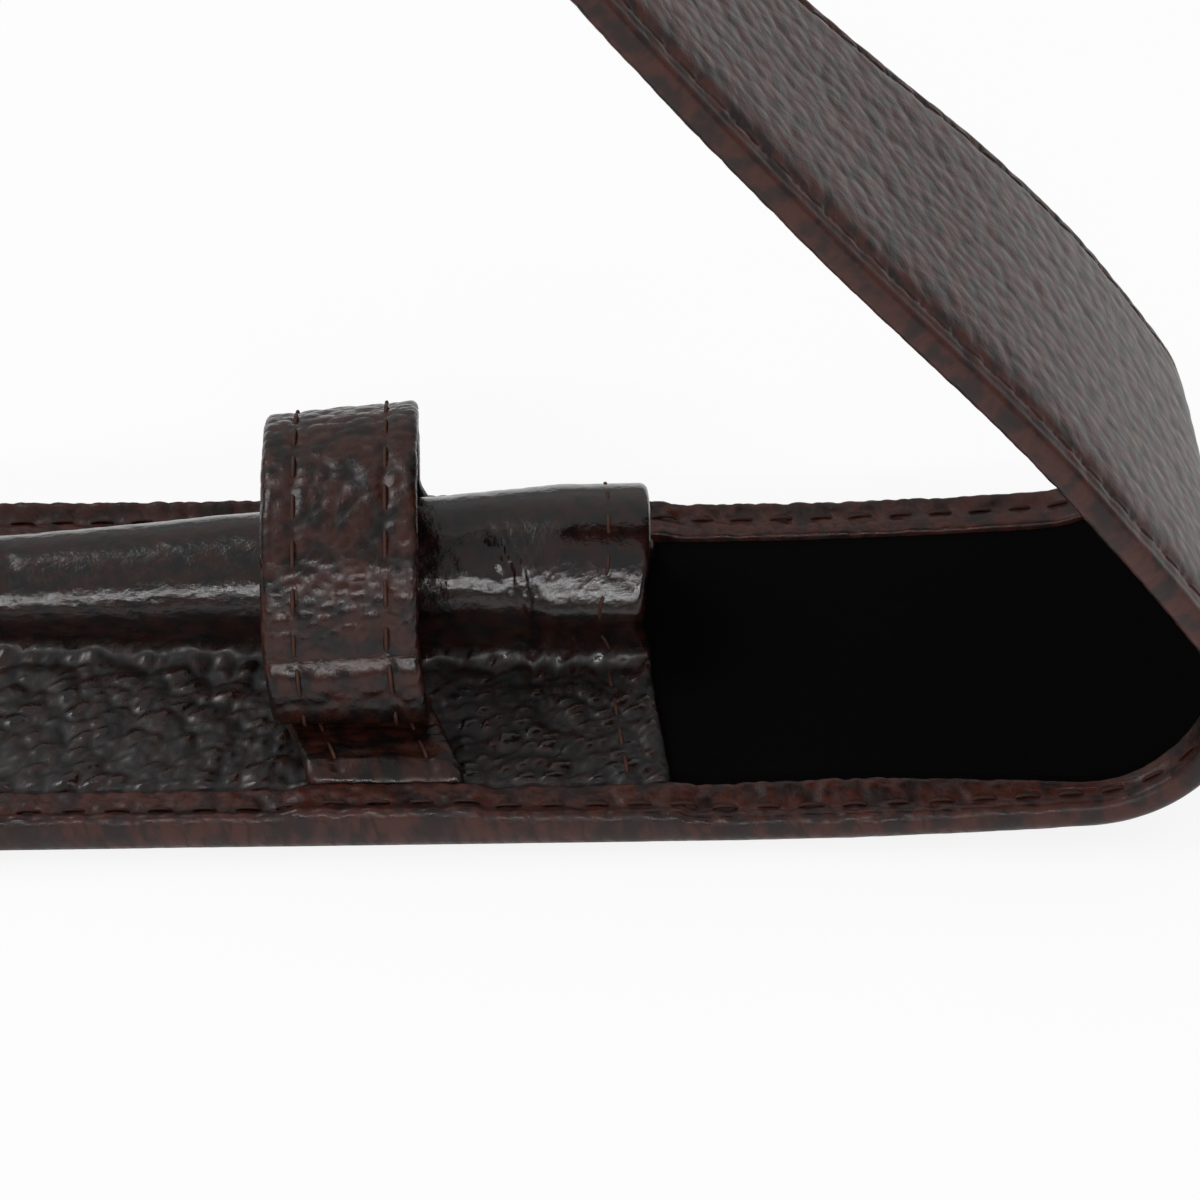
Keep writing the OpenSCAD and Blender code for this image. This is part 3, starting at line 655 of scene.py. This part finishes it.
# %% [markdown]
# The grain, the groove that the stitches sink into and the puckers at their holes are moved in the
# flat mesh, along its normals. The turned lips have small sharp pillows, which calm down past the
# mouth, and the outer face has larger and softer ones. Only then is the stretch laid along the
# strip's line.
# %% Helpers for the strip's shape
def nearest(points, spots, chunk=4000):
    """Distance from each point to the nearest spot."""
    out = np.empty(len(points))
    for i in range(0, len(points), chunk):
        block = points[i:i + chunk, None, :2] - spots[None, :, :2]
        out[i:i + chunk] = np.sqrt((block ** 2).sum(2).min(1))
    return out


def crown_drop(s, y, from_edge):
    """How far the flap's outer face falls away towards its edges, more at the near one."""
    return np.where(y < 0, 0.6, 0.15) * smooth((s - 30) / 10) * hump(from_edge, 0, 3.6)


# %% Shape the strip: grain, stitch groove and bend
def dress_strip(piece):
    flat = get_points(piece)
    normals = normals_of(piece)
    square_y = flat[:, 1].copy()
    square_s = flat[:, 0].copy()
    flat[:, 0], flat[:, 1] = outline(flat[:, 0], flat[:, 1])
    from_edge = np.minimum(HALF_W - np.abs(square_y), np.minimum(square_s + POCKET_L, TIP_S - square_s))
    level = smooth((np.abs(normals[:, 2]) - 0.5) / 0.3)
    groove = level * hump(from_edge, STITCH_IN, 0.6)
    pits = level * hump(nearest(flat, holes), 0, 0.4)
    drifted = flat + 0.4 * drift(flat, 2, 17)
    domes, cells = pillows(drifted, (1.2, 0.95, 1.1), 5)
    face_domes, face_cells = pillows(drifted, (1.6, 1.5, 1.6), 6)
    outer = smooth((-1.3 - flat[:, 2]) / 0.6)
    on_lip = smooth((normals[:, 2] - 0.1) / 0.6)
    calm = 1 - 0.7 * smooth((flat[:, 0] - 20) / 15)
    relief = outer * 0.16 * (face_domes - 0.8)
    relief += (1 - outer) * calm * (0.06 + 0.32 * on_lip) * (domes - 0.8)
    relief += 0.1 * calm * cloud(flat, 5, 3) - 0.16 * groove - (0.02 + 0.2 * outer) * pits
    relief -= outer * crown_drop(flat[:, 0], square_y, from_edge)

    # The near lip lies wider and higher just past the mouth, and narrower where the fold begins.
    rise = np.interp(flat[:, 0], [-90, -25, 0, 20], [1.0, 0.8, 0.45, 0.35])
    near_lip = smooth((from_edge - 2.6) / 1.2) * (square_y < 0) * (flat[:, 2] > -0.5)
    swell = hump(flat[:, 0], 13, 12)
    flat[:, 1] += near_lip * (0.5 * swell - 1.0 * hump(flat[:, 0], 36, 7))

    # What lies on the table stays flat. Only the upper side is lifted by what is sewn under it.
    bottom = (normals[:, 2] < -0.7) & (flat[:, 2] < -1.5)
    relief = np.where(bottom & (flat[:, 0] < FLAT_L + 10), np.minimum(relief, 0) * 0.6, relief)
    lifted = smooth((flat[:, 2] + 1.2) / 1.4) * (flat[:, 2] > -1.2)
    keep_flat(piece, flat)
    upper_cells = calm * cells + (1 - calm) * 0.3
    keep_value(piece, "cells", outer * (0.3 + 0.2 * face_cells) + (1 - outer) * upper_cells)
    moved = flat + normals * relief[:, None]
    moved[:, 2] += (lip_rise(flat[:, 0]) + rise * hump(from_edge, 0.5, 0.9)) * lifted
    moved[:, 2] += 0.35 * near_lip * swell
    set_points(piece, lay_strip(moved) * MM)
    finish_piece(piece, edge_leather)


# %% [markdown]
# The real fold has no pin: the leather itself bends. Its three joints stand 40 degrees apart round
# the bend, and each stretch of the strip crosses one of them.
# %% Cut the strip, shape its pieces and lay them along its line
JOINTS = {
    "sleeve": ("sleeve", "fold_1", 24),
    "fold": ("fold_1", "fold_2", 64),
    "flap": ("fold_2", "flap", 104),
}


def bend_at(piece, body_a, body_b, hinge_angle):
    """Bakes a piece's placement into its mesh."""
    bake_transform(piece)


sleeve_strip = cut(strip_flat, "sleeve_strip", None, CUT_1)
fold_strip = cut(strip_flat, "fold_strip", CUT_1, CUT_2)
flap_strip = cut(strip_flat, "flap_strip", CUT_2, None)
bpy.data.objects.remove(strip_flat)
for piece, zone in ((sleeve_strip, "sleeve"), (fold_strip, "fold"), (flap_strip, "flap")):
    dress_strip(piece)
    bend_at(piece, *JOINTS[zone])
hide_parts("back_leather")
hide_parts("fold_1_leather", "fold_2_leather")
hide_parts("flap_leather")

# %% [markdown]
# The thread shows on both faces: on top of the turned lip, and on the outside of the leather, where
# it has sunk a little into the groove. Both faces of a stretch make one mesh, which bends as its
# leather does.
# %% Stitches of the strip, on the lips and on the outer face
THREAD_LIFT = 0.02
THREAD_SINK = 0.2
for zone, body in (("sleeve", "back_thread"), ("fold", "fold_1_thread"), ("flap", "flap_thread")):
    spots, headings = rows[zone]
    top = LIP_T + lip_rise(spots[:, 0])
    places = [(s, y, h + THREAD_LIFT, a, 1) for (s, y), h, a in zip(spots, top, headings)]
    bottom = -SHEET_T + THREAD_SINK + crown_drop(spots[:, 0], spots[:, 1], STITCH_IN)
    places += [(s, y, h, a, -1) for (s, y), h, a in zip(spots, bottom, headings)]
    row = stitches(zone + "_stitches", places, lay_strip, dark_thread)
    bend_at(row, *JOINTS[zone])
    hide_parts(body)
    if zone == "fold":
        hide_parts("fold_2_thread")

# %% [markdown]
# The lining is black suede, glued over the stiffener before the edges are turned, so its border
# runs under the lip. It is cut at the same two places as the leather.
# %% Suede lining
LINING_NODES = {
    "sleeve": ["back_lining"],
    "fold": ["fold_1_lining", "fold_2_lining"],
    "flap": ["flap_lining"],
}
lining_flat = panel("lining_flat", -POCKET_L + 3, TIP_S - 3, -HALF_W + 3, HALF_W - 3, 0, 0.9)
for zone, (a, b) in {"sleeve": (None, CUT_1), "fold": (CUT_1, CUT_2), "flap": (CUT_2, None)}.items():
    lining = cut(lining_flat, zone + "_suede", a, b)
    flat = get_points(lining)
    flat[:, 0], flat[:, 1] = outline(flat[:, 0], flat[:, 1])
    keep_flat(lining, flat)
    flat[:, 2] += 0.1 * cloud(flat, 4, 11) + 0.02
    set_points(lining, lay_strip(flat) * MM)
    finish_piece(lining, black_suede)
    bend_at(lining, *JOINTS[zone])
    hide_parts(*LINING_NODES[zone])
bpy.data.objects.remove(lining_flat)

# %% [markdown]
# The front panel is wetted and moulded over a round former. Flat, it is a plain rectangle. Its
# section at any distance from the mouth is a line of seven runs: flat, foot, side, crown, side,
# foot, flat.
# %% Section of the front panel
CHANNEL_Y = 6.2
FOOT_R = 1.5
FRONT_REACH = 18.6
FRONT_IN = 2.4
MOUTH_D = 11.8
TOE_X = -98


def channel_radius(x):
    return np.interp(x, [TOE_X, -56, -8, 0], [6.4, 7.4, MOUTH_D, MOUTH_D]) / 2


def front_runs(x):
    r = channel_radius(x) + FRONT_T
    side = np.maximum(SHEET_T + channel_radius(x) - FRONT_Z - FOOT_R, 0.05)
    right_angle = np.pi / 2
    foot = (FOOT_R * right_angle, right_angle)
    crown = (2 * right_angle * r, -2 * right_angle)
    near_flat = (CHANNEL_Y - r - FOOT_R + FRONT_REACH, 0)
    far_flat = (FRONT_REACH - CHANNEL_Y - r - FOOT_R, 0)
    return [near_flat, foot, (side, 0), crown, (side, 0), foot, far_flat]


MOUTH_LENGTHS = [float(np.max(length)) for length, turn in front_runs(np.zeros(1))]
FRONT_W = sum(MOUTH_LENGTHS)
print("front panel:", round(FRONT_W, 1), "mm across when flat")


# %% Lay the front panel on its section
def round_in(x, inset):
    """Half the width of the sleeve's outline at x, drawn in by inset."""
    inside = np.sqrt(np.maximum(0, (CORNER_R - inset) ** 2 - (x + POCKET_L - CORNER_R) ** 2))
    return np.where(x > CORNER_R - POCKET_L, HALF_W - inset, HALF_W - CORNER_R + inside)


def lay_front(p):
    """Lays flat points (from the mouth, across from the near edge, height over the outer face)."""
    x = np.minimum(p[:, 0], 0)
    where = count_runs(p[:, 1], MOUTH_LENGTHS)
    y, z, heading = follow((-FRONT_REACH, FRONT_Z, 0), front_runs(x), where)
    rise = smooth((x + POCKET_L - CORNER_R) / (POCKET_L - CORNER_R + TOE_X))
    z = FRONT_Z + (z - FRONT_Z) * rise
    y = y * round_in(x, FRONT_IN) / (HALF_W - FRONT_IN)

    # Under the turned lip the panel is skived thin, and lies lower.
    edge = smooth((round_in(x, LIP_W) - np.abs(y) + 0.1) / 0.9)
    edge = edge * smooth((x + POCKET_L - LIP_W + 0.1) / 0.9)
    z = SHEET_T + FRONT_EDGE_T + (z - SHEET_T - FRONT_EDGE_T) * np.where(z < FRONT_Z + 0.5, edge, 1)

    # The edge at the mouth is drawn back on the sides of the channel, and a little along the near flat.
    rising = np.interp((z - FRONT_Z) / MOUTH_D, [0, 0.15, 0.3, 0.5, 0.8, 1], [0, 0.6, 1, 1, 0.6, 0.55])
    along_flat = np.where(y < CHANNEL_Y, np.interp(y, [-15.6, -2.4], [0, 0.55]), 0)
    dip = 2 * np.maximum(rising, along_flat) * np.interp(p[:, 0], [-12, -6, 0], [0, 1, 1])
    return np.stack([p[:, 0] - dip, y - p[:, 2] * np.sin(heading), z + p[:, 2] * np.cos(heading)], 1)


# %% [markdown]
# Moulding stretches the leather over the channel, so it is smooth there and its grain is fine. On
# the flat at the near side it stays in plump slanted pillows with deep creases. The creases could
# be bump in the finish, but they are deep enough to cast shadows, so the mesh is fine and they are
# moved in it.
# %% Relief of the front panel
HEM_L = 13
foot_at = MOUTH_LENGTHS[0]
crown_from = sum(MOUTH_LENGTHS[:3])
print("foot of the channel at", round(foot_at, 1), "mm, crown from", round(crown_from, 1), "mm")


def front_relief(flat):
    """Height of the front's grain and creases, and where its pillows are."""
    on_flat = smooth((foot_at + 3.0 - flat[:, 1]) / 2.4)
    x, y, z = flat.T
    slanted = np.stack([0.82 * x + 0.57 * y, 0.82 * y - 0.57 * x, z], 1)
    blobs = pillows(slanted + 0.7 * drift(slanted, 2.2, 21), (2.2, 1.4, 1.5), 7)
    folds = pillows(slanted + 1.0 * drift(slanted, 3, 23), (4.4, 2.2, 2), 8)
    skin = pillows(flat + 0.3 * drift(flat, 1, 27), (0.75, 0.62, 1), 6)
    pillow = np.minimum(blobs[1], 1.6 * folds[1])
    plump = 0.6 * (blobs[0] - 0.8) + 0.45 * (folds[0] - 0.8) + 0.14 * (skin[0] - 0.8)
    plump -= 0.1 * (1 - pillow) ** 2
    drawn = flat * (1, 0.45, 1)
    drawn[:, 0] += 0.5 * flat[:, 1]
    taut = 0.045 * (skin[0] - 0.8) + 0.05 * cloud(drawn, 1.1, 10) + 0.12 * cloud(drawn, 5, 15)

    # The crown's angle is 0 on the near side and 90 at the top. The hem holds the section squarer,
    # and behind it the leather is pinched into fine folds.
    angle = (flat[:, 1] - crown_from) / MOUTH_LENGTHS[3] * 180
    squarer = 0.6 * hump(angle, 4, 18) + 0.1 * hump(angle, 60, 20)
    taut += squarer * smooth((flat[:, 0] + HEM_L) / 5)
    pinch_x = flat[:, 0] + 13.4 + 1.2 * cloud(flat, 2.2, 14) + 0.04 * (angle - 40)
    pinch = hump(pinch_x, 0, 1.6) * hump(angle, 42, 28)
    taut -= pinch * (0.2 + 0.08 * np.cos(pinch_x * 2 * np.pi / 0.95) + 0.2 * cloud(flat, 0.7, 16))
    cells = on_flat * pillow + (1 - on_flat) * (0.5 + 0.3 * skin[1])
    return on_flat * plump + (1 - on_flat) * taut, cells


# %% The front panel
FRONT_END = 3.4
HEM_R = 0.6
HEM_PROFILE = [(HEM_R, 0)] + quarter(HEM_R, -HEM_R, HEM_R, HEM_R, 90, 270, 6)
HEM_PROFILE += [(inset, -2 * HEM_R) for inset in (1.5, 3, 6)]
cell = 0.27
front = panel("front_panel", -POCKET_L + FRONT_END, 0, 0, FRONT_W, 0, cell, HEM_PROFILE)
flat = get_points(front)
normals = normals_of(front)
relief, cells = front_relief(flat)
outer = smooth((flat[:, 2] + 0.6) / 0.4)
keep_flat(front, flat)
keep_value(front, "cells", cells)
set_points(front, lay_front(flat + normals * (relief * outer)[:, None]) * MM)
finish_piece(front, front_leather)
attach(front, "sleeve")
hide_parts("pocket_leather")

# %% [markdown]
# The front has its own suede lining, glued to its back and laid on the same section, just inside
# the leather. Its upper face lies against the leather, so its normals are flipped to look into the
# channel.
# %% Lining of the front panel
front_suede = panel("front_suede", -POCKET_L + 4.8, -5, 1, FRONT_W - 1, -1.15, 0.8)
flat = get_points(front_suede)
keep_flat(front_suede, flat)
set_points(front_suede, lay_front(flat) * MM)
front_suede.data.flip_normals()
finish_piece(front_suede, black_suede)
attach(front_suede, "sleeve")
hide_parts("pocket_lining")

# %% [markdown]
# The hem at the mouth is held by one row of lighter thread, which runs from lip to lip over the
# channel. It is planned across the flat panel and laid on the same section, at the height of the
# grain under it.
# %% Stitches at the mouth
MOUTH_ROW = 3.6
lip_at = FRONT_REACH - HALF_W + LIP_W
mouth_y = np.linspace(lip_at + 0.6, FRONT_W - lip_at - 0.6, 300)
line = np.stack([np.full(300, -MOUTH_ROW), mouth_y], 1)
spots, headings = even_places(line, STITCH_PITCH)
heights = front_relief(np.column_stack([spots, 0 * spots[:, 0]]))[0]
places = [(s, y, h + THREAD_LIFT, a, 1) for (s, y), h, a in zip(spots, heights, headings)]
mouth_row = stitches("mouth_stitches", places, lay_front, tan_thread)
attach(mouth_row, "sleeve")
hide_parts("mouth_thread")

# %% [markdown]
# The keeper loop is a band with both edges turned in. Its near end comes out from under the rim as
# a tab, folds back over itself, rolls up into a wall, arches over the channel and goes down to the
# far rim.
# %% Line of the loop
CREASE = arc(1.7, 165)
ROLL = arc(1.5, -81)
SHOULDER = (1.2, -math.radians(27))
WAIST = (1.4, math.radians(25))
ARCH = arc(12.1, -172)
LOOP_RUNS = [
    (2.6, 0), arc(0.733, 58.5), arc(0.733, -58.5), (5.593, 0), CREASE, (1.19, 0), ROLL,
    (1.9, 0), SHOULDER, (0.5, 0), WAIST, ARCH, (5.98, 0),
    arc(1.2, 39), (2.283, 0), arc(1.0, 51), (2.4, 0),
]
LOOP_START = (-18.95, 2.62, 0)
LOOP_FOOT_Z = 3.32
LOOP_RISE = 19.86
LOOP_LEAN = 3.7
LOOP_TILT = math.sin(math.radians(7))
LOOP_LENGTHS = [length for length, turn in LOOP_RUNS]
LOOP_L = sum(LOOP_LENGTHS)
ROOT_S = sum(LOOP_LENGTHS[:3])
FAR_S = sum(LOOP_LENGTHS[:13])
CREASE_S = ROOT_S + LOOP_LENGTHS[3]
WALL_S = CREASE_S + sum(LOOP_LENGTHS[4:7])
NEAR_LEAN = (
    [ROOT_S - 1, CREASE_S, CREASE_S + 2.4, CREASE_S + 5, WALL_S, WALL_S + 5],
    [0, 2.05, 2.7, 2.8, 3.1, LOOP_LEAN],
)
print("loop band:", round(LOOP_L, 1), "mm long when flat")


def lay_loop(p):
    """Lays flat points (along the band, across it, height over its inner face)."""
    where = count_runs(p[:, 0], LOOP_LENGTHS)
    y, z, heading = follow(LOOP_START, LOOP_RUNS, where)
    thin = 0.32 + 0.68 * smooth((p[:, 0] - 2.2) / 2.4) * smooth((LOOP_L - 2.0 - p[:, 0]) / 3.5)
    h = p[:, 2] * thin
    y, z = y - h * np.sin(heading), z + h * np.cos(heading)
    lift = z - LOOP_FOOT_Z
    near = np.interp(p[:, 0], *NEAR_LEAN)
    lean = np.where(y < 1.9, near, LOOP_LEAN * smooth(lift / 7.5))
    x = p[:, 1] + LOOP_X - lean
    return np.stack([x, y, z + p[:, 1] * LOOP_TILT * smooth(lift / LOOP_RISE)], 1)


# %% [markdown]
# The band is made as the strip was: a flat panel whose two sides are turned under. Its tab is
# creased across, because it was bent back hard, the rest has round pillows, and where it comes up
# from the roll it was rubbed smooth.
# %% The loop's leather
BAND_T = 1.5
BAND_R = 0.7
BAND_ROW = 2.7
BAND_PROFILE = [(BAND_R, BAND_T)]
for degrees in (22, 45, 67, 90):
    a = math.radians(degrees)
    BAND_PROFILE.append((BAND_R - BAND_R * math.sin(a), BAND_T - BAND_R + BAND_R * math.cos(a)))
BAND_PROFILE += [(0.15, 0.35), (0.5, 0.04), (1.2, 0), (2.6, 0), (2.7, 0.3)]
cell = 0.2
loop = panel("keeper_loop", 0, LOOP_L, -LOOP_W / 2, LOOP_W / 2, BAND_T, cell, BAND_PROFILE)
flat = get_points(loop)
normals = normals_of(loop)
on_tab = smooth((CREASE_S + 1 - flat[:, 0]) / 2)
pushed = drift(flat, 1.7, 31)
blobs = pillows(flat + 0.5 * pushed, (1.1, 1.5, 1), 12)
folds = pillows(flat + 0.8 * pushed, (0.6, 3.2, 2), 14)
from_side = LOOP_W / 2 - np.abs(flat[:, 1])
groove = hump(from_side, BAND_ROW, 0.45) * (normals[:, 2] > 0.7)
polished = 1 - 0.75 * hump(flat[:, 0], WALL_S + 3.6, 1.6)
relief = (1 - on_tab) * polished * 0.22 * (blobs[0] - 0.8) + on_tab * 0.3 * (folds[0] - 0.8)
relief += 0.14 * cloud(flat / (1, 1.6, 1), 2.4, 13) - 0.14 * groove
keep_flat(loop, flat)
pillow = np.maximum(0.15 + 0.85 * blobs[1], 1.2 * (1 - polished))
keep_value(loop, "cells", on_tab * (0.3 + 0.5 * folds[1]) + (1 - on_tab) * pillow)
relief *= smooth(normals[:, 2] + 0.6)
set_points(loop, lay_loop(flat + normals * relief[:, None]) * MM)
finish_piece(loop, loop_leather)
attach(loop, "sleeve")
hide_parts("loop_leather")

# %% [markdown]
# A narrower strip of suede covers the inside of the band, and two rows of the lighter thread hold
# its turned edges. The rows leave out the crease, where no stitch would show.
# %% The loop's lining and stitches
loop_suede = panel("loop_suede", 3, LOOP_L - 3, -LOOP_W / 2 + 2, LOOP_W / 2 - 2, 0.2, 0.8)
flat = get_points(loop_suede)
keep_flat(loop_suede, flat)
set_points(loop_suede, lay_loop(flat) * MM)
loop_suede.data.flip_normals()
finish_piece(loop_suede, black_suede)
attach(loop_suede, "sleeve")
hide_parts("loop_lining")

places = []
for side in (-1, 1):
    for a, b in ((ROOT_S, CREASE_S + 1.2), (WALL_S - 3.2, FAR_S)):
        line = np.stack([np.linspace(a, b, 100), np.full(100, side * (LOOP_W / 2 - BAND_ROW))], 1)
        spots, headings = even_places(line, STITCH_PITCH)
        places += [(s, y, BAND_T + 2 * THREAD_LIFT, turn, 1) for (s, y), turn in zip(spots, headings)]
loop_row = stitches("loop_stitches", places, lay_loop, tan_thread)
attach(loop_row, "sleeve")
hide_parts("loop_thread")
